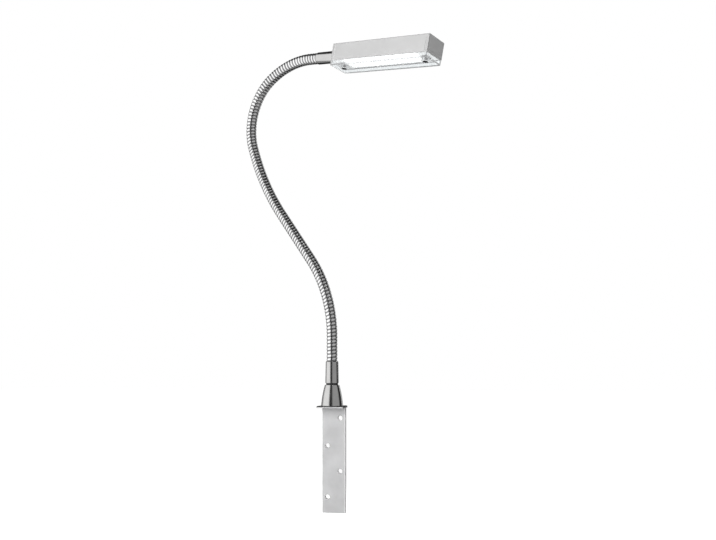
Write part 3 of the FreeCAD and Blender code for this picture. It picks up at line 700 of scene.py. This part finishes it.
def lay_along(obj, start, route):
    """Slide a straight length to its start and bend it along the route."""
    pick(obj)
    obj.location = (start, 0, 0)
    apply_place(obj)
    bpy.ops.object.modifier_add(type="CURVE")
    obj.modifiers[-1].object = route
    obj.modifiers[-1].deform_axis = "POS_X"
    apply_modifiers(obj)


def route_point(distance):
    """The point of the route at a distance from its foot."""
    point, angle, left = ARM_FOOT.copy(), math.pi / 2, distance
    for run in ARM_ROUTE:
        if len(run) == 1:
            travel = min(left, run[0] * MM)
            point = point + heading(angle) * travel
        else:
            radius, turn = run[0] * MM, math.radians(run[1])
            travel = min(left, radius * abs(turn))
            side = math.copysign(math.pi / 2, turn)
            centre = point + heading(angle + side) * radius
            angle += math.copysign(travel / radius, turn)
            point = centre - heading(angle + side) * radius
        left -= travel
    return point


class SCONCE_OT_arm(bpy.types.Operator):
    """Wind the arm and lay each length along the route, over one joint"""

    bl_idname = "sconce.arm"
    bl_label = "Wound arm"

    def execute(self, context):
        sizes = context.scene.sconce_sizes
        route = draw_route()
        collar_mouth = route_length() - COLLAR_LENGTH
        first_bend = FERRULE_MOUTH + END_SETBACK
        spacing = (collar_mouth - END_SETBACK - first_bend) / (BEND_POINTS - 1)
        pitch = spacing / sizes.turns_per_length
        first_cut = first_bend - spacing / 2
        last_cut = first_cut + BEND_POINTS * spacing
        end_turns = math.floor(first_cut / pitch)

        foot = wound_length("arm_winding_foot", sizes, pitch, end_turns)
        lay_along(foot, first_cut - end_turns * pitch, route)
        finish_piece(foot, None, "gooseneck_steel", ARM_BODIES[0], "gooseneck_section_1")
        head = wound_length("arm_winding_head", sizes, pitch, end_turns)
        lay_along(head, last_cut, route)
        finish_piece(head, None, "gooseneck_steel", ARM_BODIES[-1], "gooseneck_section_7")

        pattern = wound_length("arm_winding", sizes, pitch, sizes.turns_per_length)
        for number in range(1, BEND_POINTS + 1):
            piece = pattern.copy()
            piece.data = pattern.data.copy()
            piece.name = f"arm_winding_{number}"
            context.collection.objects.link(piece)
            start = first_cut + (number - 1) * spacing
            lay_along(piece, start, route)
            margin = spacing * STIFF_SHARE
            route_point(start + margin)
            route_point(start + spacing - margin)
            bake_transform(piece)
            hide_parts(f"gooseneck_section_{number}", f"gooseneck_section_{number + 1}")
        bpy.data.objects.remove(pattern)
        bpy.data.objects.remove(route)
        return {"FINISHED"}


class SCONCE_OT_base(bpy.types.Operator):
    """Turn the bell-shaped cover and the ferrule"""

    bl_idname = "sconce.base"
    bl_label = "Cover and ferrule"

    def execute(self, context):
        rounding = context.scene.sconce_sizes.edge_round
        nickel = bpy.data.materials["base_nickel"]
        bell = turned_piece("bell_cover", bell_outline(), rounding=rounding)
        ferrule = turned_piece("arm_ferrule", ferrule_outline(), rounding=0.08 * MM)
        for obj, node in ((bell, "base_cone"), (ferrule, "base_ferrule")):
            obj.location = ARM_AXIS
            apply_place(obj)
            finish_piece(obj, nickel, "base_nickel", ARM_BODIES[0], node)
        groove_top = CONE_TOP + GROOVE_HEIGHT + 0.02 * MM
        outside = 6 * MM
        # Painted shade: the groove's outer faces get a near-black finish
        paint_faces(ferrule, bpy.data.materials["painted_groove_shade"], lambda centre, normal: (
            CONE_TOP < centre.z < groove_top and (centre - ARM_AXIS).xy.length > outside))
        return {"FINISHED"}


def bell_outline():
    """The cover's outline of radius and height: a bowed flank, a thick roof and an open foot."""
    foot, top, rise, bow, wall, roof = (value * MM for value in (11.8, 7.8, 22.5, 0.6, 1.5, 3.0))
    flank = []
    steps = 12
    for index in range(steps + 1):
        share = index / steps
        radius = foot + (top - foot) * share + 4 * bow * share * (1 - share)
        flank.append((radius, FLANGE_TOP + rise * share))
    bore = 5.1 * MM
    inner_foot = foot - wall
    inner_top = inner_foot - (foot - top) * (rise - roof) / rise
    roof_bottom = CONE_TOP - roof
    return flank + [(bore, CONE_TOP), (bore, roof_bottom), (inner_top, roof_bottom), (inner_foot, FLANGE_TOP)]


def ferrule_outline():
    """The ferrule's outline of radius and height: groove, slight taper, socket above and thread below."""
    groove, low, high, mouth, shoulder = (value * MM for value in (6.45, 7.3, 6.8, 6.1, 3.3))
    chamfer_foot = FERRULE_TOP - 0.7 * MM
    groove_top = CONE_TOP + GROOVE_HEIGHT
    thread_top, seat = CONE_TOP + 10 * MM, CONE_TOP + 11 * MM
    return [
        (THREAD_RADIUS, CONE_TOP), (groove, CONE_TOP), (groove, groove_top), (low, groove_top),
        (high, chamfer_foot), (mouth, FERRULE_TOP), (ARM_SOCKET_RADIUS, FERRULE_TOP), (ARM_SOCKET_RADIUS, seat),
        (shoulder, seat), (shoulder, thread_top), (THREAD_RADIUS, thread_top),
    ]


class SCONCE_OT_collar(bpy.types.Operator):
    """Turn the collar that holds the lamp head"""

    bl_idname = "sconce.collar"
    bl_label = "Head collar"

    def execute(self, context):
        outer, stud, bore = 6.3 * MM, 4.0 * MM, 2.5 * MM
        stud_end, socket_depth = 11.8 * MM, 13 * MM
        floor = -COLLAR_LENGTH + socket_depth
        collar = turned_piece("lamp_collar", [
            (bore, stud_end), (stud, stud_end), (stud, 0), (outer, 0), (outer, -COLLAR_LENGTH),
            (ARM_SOCKET_RADIUS, -COLLAR_LENGTH), (ARM_SOCKET_RADIUS, floor), (bore, floor),
        ], rounding=0.12 * MM)
        collar.matrix_world = head_matrix() @ Matrix.Rotation(math.pi / 2, 4, "Y")
        apply_place(collar)
        finish_piece(collar, bpy.data.materials["head_nickel"], "head_nickel", ARM_BODIES[-1], "head_collar")
        return {"FINISHED"}


class SCONCE_OT_bracket(bpy.types.Operator):
    """Soften the bracket's edges, paint a highlight on the ones that are broken and painted shade on its sides
    """

    bl_idname = "sconce.bracket"
    bl_label = "Wall bracket"

    def execute(self, context):
        materials = bpy.data.materials
        straight, upward = 0.98, 0.05
        flange_middle = FLANGE_TOP - FLANGE_THICKNESS / 2
        piece = softened_copy("wall_bracket", "mounting_bracket", 0.15 * MM, self.round_flange)
        finish_piece(piece, materials["bracket_metal"], "bracket_metal", ARM_BODIES[0], "wall_bracket")
        # Painted highlight: the broken edges get a near-white finish
        paint_faces(piece, materials["bracket_edge_highlight"],
                    lambda centre, normal: max(map(abs, normal)) < straight)
        # Painted shade: the sides facing along X get a darker finish
        paint_faces(piece, materials["bracket_side_shade"], lambda centre, normal: abs(normal.x) > straight)
        paint_faces(piece, materials["flange_face"],
                    lambda centre, normal: normal.z > upward and centre.z > flange_middle)
        return {"FINISHED"}

    @staticmethod
    def round_flange(piece):
        """Round the flange's upper rim, in edit mode."""
        edge_width = 1.0 * MM
        bpy.ops.mesh.select_mode(type="EDGE")
        bpy.ops.mesh.select_all(action="DESELECT")
        bpy.ops.object.mode_set(mode="OBJECT")
        vertices = piece.data.vertices
        reach = max(vertex.co.x for vertex in vertices)
        front = min(vertex.co.y for vertex in vertices)
        for edge in piece.data.edges:
            ends = [vertices[index].co for index in edge.vertices]
            on_top = all(abs(end.z - FLANGE_TOP) < TOUCH for end in ends)
            middle = (ends[0] + ends[1]) / 2
            on_rim = abs(abs(middle.x) - reach) < TOUCH or abs(middle.y - front) < TOUCH
            edge.select = on_top and on_rim
        bpy.ops.object.mode_set(mode="EDIT")
        bpy.ops.mesh.bevel(offset=edge_width, segments=4, affect="EDGES")


class SCONCE_OT_housing(bpy.types.Operator):
    """Soften the edges of the lamp housing, its end caps and its cover"""

    bl_idname = "sconce.housing"
    bl_label = "Lamp housing"

    def execute(self, context):
        for node, name, width, slot, finish, edge in (
            ("lamp_housing", "housing_channel", 0.3 * MM, "housing_metal", "housing_metal", "polished_edge"),
            ("end_cap_left", "end_cover_left", 0.3 * MM, "cap_plastic", "cap_plastic", "polished_edge"),
            ("end_cap_right", "end_cover_right", 0.3 * MM, "cap_plastic", "cap_plastic", "polished_edge"),
            # The cover's rounded edges get a darker copy of its clear finish: painted shade
            ("clear_cover", "tray_cover", 0.45 * MM, "cover_clear", "clear_moulding", "clear_edge_shade"),
        ):
            piece = softened_copy(node, name, width)
            finish_piece(piece, bpy.data.materials[finish], slot, ARM_BODIES[-1], node)
            self.mark_edges(piece, bpy.data.materials[edge])
            if finish == "cap_plastic":
                # Painted light on the cap's inside, behind its plate
                self.paint_lit_inside(piece)
        return {"FINISHED"}

    @staticmethod
    def mark_edges(piece, material):
        """Give the rounded edges, which face between the head's own directions, their own finish."""
        back, straight = head_matrix().to_3x3().inverted(), 0.97
        paint_faces(piece, material, lambda centre, normal: max(map(abs, back @ normal)) < straight)

    @staticmethod
    def paint_lit_inside(piece):
        """The cap's plug and block, behind its plate, get a white finish that glows: painted light from the
        diodes.
        """
        back, plate = head_matrix().inverted(), 3.5 * MM
        paint_faces(piece, bpy.data.materials["painted_lit_white"],
                    lambda centre, normal: plate < (back @ centre).x < HOUSING_LENGTH - plate)


class SCONCE_OT_cover_screws(bpy.types.Operator):
    """Model one cover screw with its thread and cross recess, and set it at both ends"""

    bl_idname = "sconce.cover_screws"
    bl_label = "Cover screws"

    def execute(self, context):
        low, high = box_in_head("cover_screws")
        head_radius, head_height = (high.y - low.y) / 2, 1.8 * MM
        crest, core, pitch = 1.42 * MM, 1.15 * MM, 0.7 * MM
        edge = 0.35 * MM
        recess_length, recess_width, recess_depth = 3.4 * MM, 0.8 * MM, 1.1 * MM
        outline = [(0, low.z), (head_radius - edge, low.z), (head_radius, low.z + edge),
                   (head_radius, low.z + head_height), (core, low.z + head_height)]
        height = low.z + head_height
        while height + pitch < high.z:
            outline += [(crest, height + pitch / 2), (core, height + pitch)]
            height += pitch
        outline.append((0, high.z))
        screw = turned_piece("cover_screw_left", outline, steps=48, closed=False)
        for turn in (0, math.pi / 2):
            bpy.ops.mesh.primitive_cube_add(size=1, location=(0, 0, low.z), rotation=(0, 0, turn))
            blade = context.object
            blade.scale = (recess_length, recess_width, 2 * recess_depth)
            apply_place(blade)
            pick(screw)
            bpy.ops.object.modifier_add(type="BOOLEAN")
            screw.modifiers[-1].object = blade
            apply_modifiers(screw)
            bpy.data.objects.remove(blade)
        bpy.ops.object.shade_smooth_by_angle(angle=math.radians(25))
        steel = bpy.data.materials["screw_steel"]
        other = screw.copy()
        other.data = screw.data.copy()
        other.name = "cover_screw_right"
        context.collection.objects.link(other)
        for piece, place in ((screw, SCREW_SETBACK), (other, HOUSING_LENGTH - SCREW_SETBACK)):
            piece.matrix_world = head_matrix() @ Matrix.Translation((place, 0, 0))
            apply_place(piece)
            finish_piece(piece, steel, "screw_steel", ARM_BODIES[-1], "cover_screws")
        return {"FINISHED"}


class SCONCE_OT_leds(bpy.types.Operator):
    """Model one light-emitting diode with its phosphor window, and lay out both rows"""

    bl_idname = "sconce.leds"
    bl_label = "Light-emitting diodes"

    def execute(self, context):
        low, high = box_in_head("leds")
        long_side, short_side = 3.5 * MM, 2.8 * MM
        columns, frame_width, window_depth = 15, 0.4 * MM, 0.15 * MM
        window_taper = (0.86, 0.84, 1)
        downward, near_middle = -0.9, 0.1 * MM
        deselect_all()
        bpy.ops.mesh.primitive_cube_add(size=1)
        diode = context.object
        diode.scale = (long_side, short_side, high.z - low.z)
        apply_place(diode)
        bpy.ops.object.mode_set(mode="EDIT")
        bpy.ops.mesh.select_all(action="DESELECT")
        bpy.ops.object.mode_set(mode="OBJECT")
        for face in diode.data.polygons:
            face.select = face.normal.z < downward
        bpy.ops.object.mode_set(mode="EDIT")
        bpy.ops.mesh.select_mode(type="FACE")
        bpy.ops.mesh.inset(thickness=frame_width)
        bpy.ops.mesh.extrude_region_move(TRANSFORM_OT_translate={"value": (0, 0, window_depth)})
        bpy.ops.transform.resize(value=window_taper, center_override=(0, 0, 0))
        bpy.ops.object.mode_set(mode="OBJECT")
        diode.data.materials.append(bpy.data.materials["led_package"])
        paint_faces(diode, bpy.data.materials["led_phosphor"], lambda centre, normal: (
            normal.z < downward and max(abs(centre.x), abs(centre.y)) < near_middle))
        middle_height = (low.z + high.z) / 2
        step = (high.x - low.x - long_side) / (columns - 1)
        row_offset = (high.y - low.y - short_side) / 2
        copies = []
        for column in range(columns):
            for side in (-1, 1):
                piece = diode.copy()
                piece.data = diode.data.copy()
                context.collection.objects.link(piece)
                piece.location = (low.x + long_side / 2 + column * step, side * row_offset, middle_height)
                copies.append(piece)
        bpy.data.objects.remove(diode)
        deselect_all()
        for piece in copies:
            piece.select_set(True)
        context.view_layer.objects.active = copies[0]
        bpy.ops.object.join()
        rows = copies[0]
        rows.name = "led_rows"
        apply_place(rows)
        rows.matrix_world = head_matrix()
        apply_place(rows)
        finish_piece(rows, None, "led_package", ARM_BODIES[-1], "leds")
        return {"FINISHED"}


def math_node(nodes, operation, second=None):
    """A maths node with its operation and, where it is fixed, its second value."""
    node = nodes.new("ShaderNodeMath")
    node.operation = operation
    if second is not None:
        node.inputs[1].default_value = second
    return node


def studio_world(fill_level):
    """White for the eye, an even fill for matt surfaces, and soft panels for metal to reflect."""
    world = bpy.data.worlds.new("studio")
    bpy.context.scene.world = world
    world.use_nodes = True
    nodes, links = world.node_tree.nodes, world.node_tree.links
    background = nodes["Background"]
    path = nodes.new("ShaderNodeLightPath")
    way = nodes.new("ShaderNodeTexCoord")
    parts = nodes.new("ShaderNodeSeparateXYZ")
    links.new(way.outputs["Generated"], parts.inputs["Vector"])
    toward = math_node(nodes, "MULTIPLY", -1.0)
    links.new(parts.outputs["Y"], toward.inputs[0])
    azimuth = math_node(nodes, "ARCTAN2")
    links.new(parts.outputs["X"], azimuth.inputs[0])
    links.new(toward.outputs["Value"], azimuth.inputs[1])
    around = nodes.new("ShaderNodeMapRange")
    around.inputs["From Min"].default_value = -math.pi
    around.inputs["From Max"].default_value = math.pi
    links.new(azimuth.outputs["Value"], around.inputs["Value"])
    panels = nodes.new("ShaderNodeValToRGB")
    set_stops(panels.color_ramp, [((angle + 180) / 360, level) for angle, level in PANEL_STOPS])
    links.new(around.outputs["Result"], panels.inputs["Fac"])
    lowered = math_node(nodes, "ADD", PANEL_DROP)
    links.new(parts.outputs["Z"], lowered.inputs[0])
    slope = math_node(nodes, "ABSOLUTE")
    links.new(lowered.outputs["Value"], slope.inputs[0])
    edge = nodes.new("ShaderNodeMapRange")
    edge.inputs["From Min"].default_value = PANEL_FULL_BELOW
    edge.inputs["From Max"].default_value = PANEL_DARK_ABOVE
    edge.inputs["To Min"].default_value = 1.0
    edge.inputs["To Max"].default_value = PANEL_DARK_LEVEL
    links.new(slope.outputs["Value"], edge.inputs["Value"])
    cut = nodes.new("ShaderNodeVectorMath")
    cut.operation = "SCALE"
    links.new(panels.outputs["Color"], cut.inputs["Vector"])
    links.new(edge.outputs["Result"], cut.inputs["Scale"])
    matt = nodes.new("ShaderNodeMix")
    matt.data_type = "RGBA"
    matt.inputs["A"].default_value = (fill_level, fill_level, fill_level, 1)
    links.new(path.outputs["Is Glossy Ray"], matt.inputs["Factor"])
    links.new(cut.outputs["Vector"], matt.inputs["B"])
    seen = math_node(nodes, "MAXIMUM")
    links.new(path.outputs["Is Camera Ray"], seen.inputs[0])
    links.new(path.outputs["Is Transmission Ray"], seen.inputs[1])
    final = nodes.new("ShaderNodeMix")
    final.data_type = "RGBA"
    final.inputs["B"].default_value = WHITE
    links.new(seen.outputs["Value"], final.inputs["Factor"])
    links.new(matt.outputs["Result"], final.inputs["A"])
    links.new(final.outputs["Result"], background.inputs["Color"])


def set_stops(ramp, stops):
    """Give a colour ramp its stops of place and grey level."""
    while len(ramp.elements) < len(stops):
        ramp.elements.new(1.0)
    for element, (place, level) in zip(ramp.elements, stops):
        element.position = place
        element.color = (level, level, level, 1)


def pale_floor(drop):
    """A wide pale floor that keeps the sconce's shadow and shows white to the eye."""
    deselect_all()
    low = CAD_BOX[0][2] - drop
    bpy.ops.mesh.primitive_plane_add(size=FLOOR_SIZE, location=(0, 0, low))
    floor = bpy.context.object
    floor.name = "studio_floor"
    apply_place(floor)
    material, nodes, links, surface = new_material("studio_floor")
    surface.inputs["Base Color"].default_value = FLOOR_TONE
    surface.inputs["Roughness"].default_value = FLOOR_ROUGHNESS
    surface.inputs["Emission Color"].default_value = WHITE
    path = nodes.new("ShaderNodeLightPath")
    lift = math_node(nodes, "MULTIPLY", FLOOR_GLOW)
    links.new(path.outputs["Is Camera Ray"], lift.inputs[0])
    links.new(lift.outputs["Value"], surface.inputs["Emission Strength"])
    side = nodes.new("ShaderNodeNewGeometry")
    clear = nodes.new("ShaderNodeBsdfTransparent")
    mix = nodes.new("ShaderNodeMixShader")
    links.new(side.outputs["Backfacing"], mix.inputs["Fac"])
    links.new(surface.outputs["BSDF"], mix.inputs[1])
    links.new(clear.outputs["BSDF"], mix.inputs[2])
    links.new(mix.outputs["Shader"], nodes["Material Output"].inputs["Surface"])
    floor.data.materials.append(material)
    floor.visible_glossy = False


def soft_light(name, place, target, size, power):
    """A large square light that metal doesn't mirror."""
    deselect_all()
    bpy.ops.object.light_add(type="AREA", location=place)
    light = bpy.context.object
    light.name = name
    light.data.energy = power
    light.data.size = size
    light.rotation_euler = (Vector(target) - Vector(place)).to_track_quat("-Z", "Y").to_euler()
    light.visible_glossy = False
    light.visible_transmission = False


def photo_camera():
    """A camera fitted to the photograph's view."""
    deselect_all()
    bpy.ops.object.camera_add(location=CAMERA_PLACE, rotation=(math.pi / 2, 0, CAMERA_HEADING))
    camera = bpy.context.object
    camera.name = "photo_camera"
    camera.data.sensor_width = SENSOR_WIDTH
    camera.data.lens = SENSOR_WIDTH * FOCAL_PIXELS / IMAGE_WIDTH
    camera.data.shift_y = SHIFT_PIXELS / IMAGE_WIDTH
    camera.data.clip_start = CAMERA_NEAR
    bpy.context.scene.camera = camera


class SCONCE_OT_stage(bpy.types.Operator):
    """Set the floor, the lights, the background and the camera"""

    bl_idname = "sconce.stage"
    bl_label = "Studio"

    def execute(self, context):
        stage = context.scene.sconce_stage
        context.scene.view_settings.view_transform = "Standard"
        studio_world(stage.fill_level)
        pale_floor(stage.floor_drop)
        soft_light("key_light", KEY_PLACE, LIGHT_TARGET, LIGHT_SIZE, stage.key_power)
        soft_light("back_light", BACK_PLACE, LIGHT_TARGET, LIGHT_SIZE, stage.back_power)
        photo_camera()
        return {"FINISHED"}


class SCONCE_PT_panel(bpy.types.Panel):
    """Lists the sconce's steps and values"""

    bl_idname = "SCONCE_PT_panel"
    bl_label = "Gooseneck sconce"
    bl_space_type = "VIEW_3D"
    bl_region_type = "UI"
    bl_category = "Sconce"

    def draw(self, context):
        for operator in OPERATORS:
            self.layout.operator(operator.bl_idname)
        for group in (context.scene.sconce_sizes, context.scene.sconce_colours, context.scene.sconce_stage):
            box = self.layout.box()
            for name in group.__annotations__:
                box.prop(group, name)


OPERATORS = (
    SCONCE_OT_stage,
    SCONCE_OT_finishes,
    SCONCE_OT_arm,
    SCONCE_OT_base,
    SCONCE_OT_collar,
    SCONCE_OT_bracket,
    SCONCE_OT_housing,
    SCONCE_OT_cover_screws,
    SCONCE_OT_leds,
)
GROUPS = {"sconce_sizes": SconceSizes, "sconce_colours": SconceColours, "sconce_stage": SconceStage}


def register():
    for cls in (*GROUPS.values(), *OPERATORS, SCONCE_PT_panel):
        bpy.utils.register_class(cls)
    for name, group in GROUPS.items():
        setattr(bpy.types.Scene, name, PointerProperty(type=group))


def unregister():
    for name in GROUPS:
        delattr(bpy.types.Scene, name)
    for cls in (SCONCE_PT_panel, *reversed(OPERATORS), *GROUPS.values()):
        bpy.utils.unregister_class(cls)


def main():
    """Build the visual model."""
    register()
    bpy.ops.sconce.stage()
    bpy.ops.sconce.finishes()
    bpy.ops.sconce.arm()
    bpy.ops.sconce.base()
    bpy.ops.sconce.collar()
    bpy.ops.sconce.bracket()
    bpy.ops.sconce.housing()
    bpy.ops.sconce.cover_screws()
    bpy.ops.sconce.leds()
    deselect_all()


if __name__ == "__main__":
    main()
